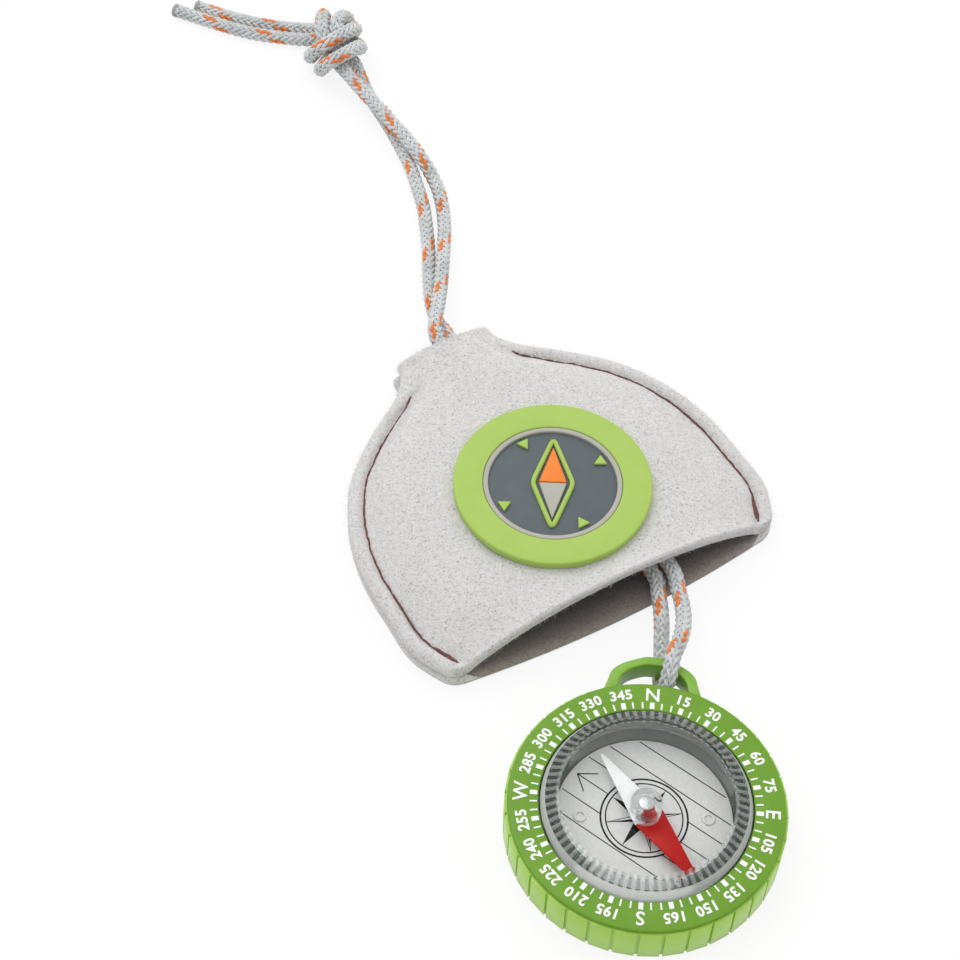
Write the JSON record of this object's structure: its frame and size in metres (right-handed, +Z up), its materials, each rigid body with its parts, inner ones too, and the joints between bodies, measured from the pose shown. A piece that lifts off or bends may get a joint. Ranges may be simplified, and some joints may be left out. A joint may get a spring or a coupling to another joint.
{
  "type": "pocket compass with lanyard and pouch",
  "caption": "Round pocket compass with a turning clear capsule and pivoted needle, on a doubled braided lanyard that carries a sliding felt pouch with a round badge.",
  "frame": {"origin": "middle of the compass underside, on the surface it lies on", "axes": "+Z up, +Y from the middle of the compass to its lanyard loop"},
  "size_m": [0.146, 0.2305, 0.0126],
  "materials": {
    "green_plastic": "satin moulded plastic",
    "clear_plastic": "clear moulded acrylic",
    "dial_print": "printed card",
    "steel": "turned metal",
    "needle_paint": "red and white paint",
    "felt": "pressed wool felt",
    "thread": "sewing thread",
    "badge_green": "soft moulded plastic",
    "badge_slate": "soft moulded plastic",
    "badge_grey": "soft moulded plastic",
    "badge_orange": "soft moulded plastic",
    "cord": "braided polyester cord"
  },
  "bodies": {
    "cord": {"cord_tail_a": "cord", "cord_tail_b": "cord", "cord_knot": "cord", "cord_upper_a": "cord", "cord_upper_b": "cord", "cord_inner_a": "cord", "cord_inner_b": "cord", "cord_lower_a": "cord", "cord_lower_b": "cord", "cord_bight": "cord"},
    "compass": {"housing_ring": "green_plastic", "back_cover": "green_plastic"},
    "capsule": {"capsule_lens": "clear_plastic", "capsule_base": "clear_plastic", "dial_card": "dial_print", "pivot_pin": "steel"},
    "needle": {"needle": "needle_paint", "needle_bearing": "steel", "needle_cap": "clear_plastic"},
    "pouch": {"felt_front": "felt", "felt_back": "felt", "seam_top_left": "thread", "seam_top_right": "thread", "seam_under_left": "thread", "seam_under_right": "thread", "badge_body": "badge_green", "badge_field": "badge_slate", "badge_ring": "badge_grey", "badge_pointer_orange": "badge_orange", "badge_pointer_grey": "badge_grey", "badge_point_1": "badge_green", "badge_point_2": "badge_green", "badge_point_3": "badge_green", "badge_point_4": "badge_green"}
  },
  "joints": [
    {"name": "compass_tip", "type": "hinge", "parent": "cord", "child": "compass", "pos_m": [0, 0.0301, 0.0061], "axis": [-1, 0, 0], "range_deg": [0, 75]},
    {"name": "capsule_turn", "type": "hinge", "parent": "compass", "child": "capsule", "pos_m": [0, 0, 0], "axis": [0, 0, 1], "continuous": true},
    {"name": "needle_turn", "type": "hinge", "parent": "capsule", "child": "needle", "pos_m": [0, 0, 0], "axis": [0, 0, 1], "continuous": true},
    {"name": "pouch_slide", "type": "slide", "parent": "cord", "child": "pouch", "axis": [-0.5807, 0.8141, 0], "range_m": [-0.006, 0.002]}
  ]
}
